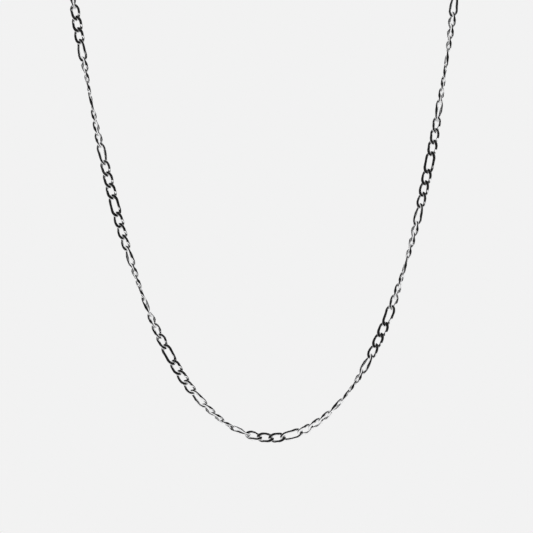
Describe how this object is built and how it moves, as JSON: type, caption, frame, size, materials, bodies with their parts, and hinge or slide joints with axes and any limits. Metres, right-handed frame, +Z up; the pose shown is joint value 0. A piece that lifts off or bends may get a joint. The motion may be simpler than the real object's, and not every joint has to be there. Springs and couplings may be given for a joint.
{
  "type": "figaro chain necklace",
  "caption": "Fine figaro chain necklace of twisted curb links with a plain clasp, hanging in a U as it does when worn.",
  "frame": {"origin": "middle of the neck hollow, level with the top of the front stretch of chain", "axes": "+Z up as worn, -Y the way the wearer faces, +X to the viewer's right in the picture"},
  "size_m": [0.1155, 0.0916, 0.1648],
  "materials": {
    "chain_silver": "polished sterling silver with ground faces",
    "fitting_silver": "polished sterling silver"
  },
  "bodies": {
    "root": {"left_chain": "chain_silver", "right_chain": "chain_silver", "clasp_ring": "fitting_silver", "clasp": "fitting_silver", "end_ring": "fitting_silver"}
  },
  "joints": []
}
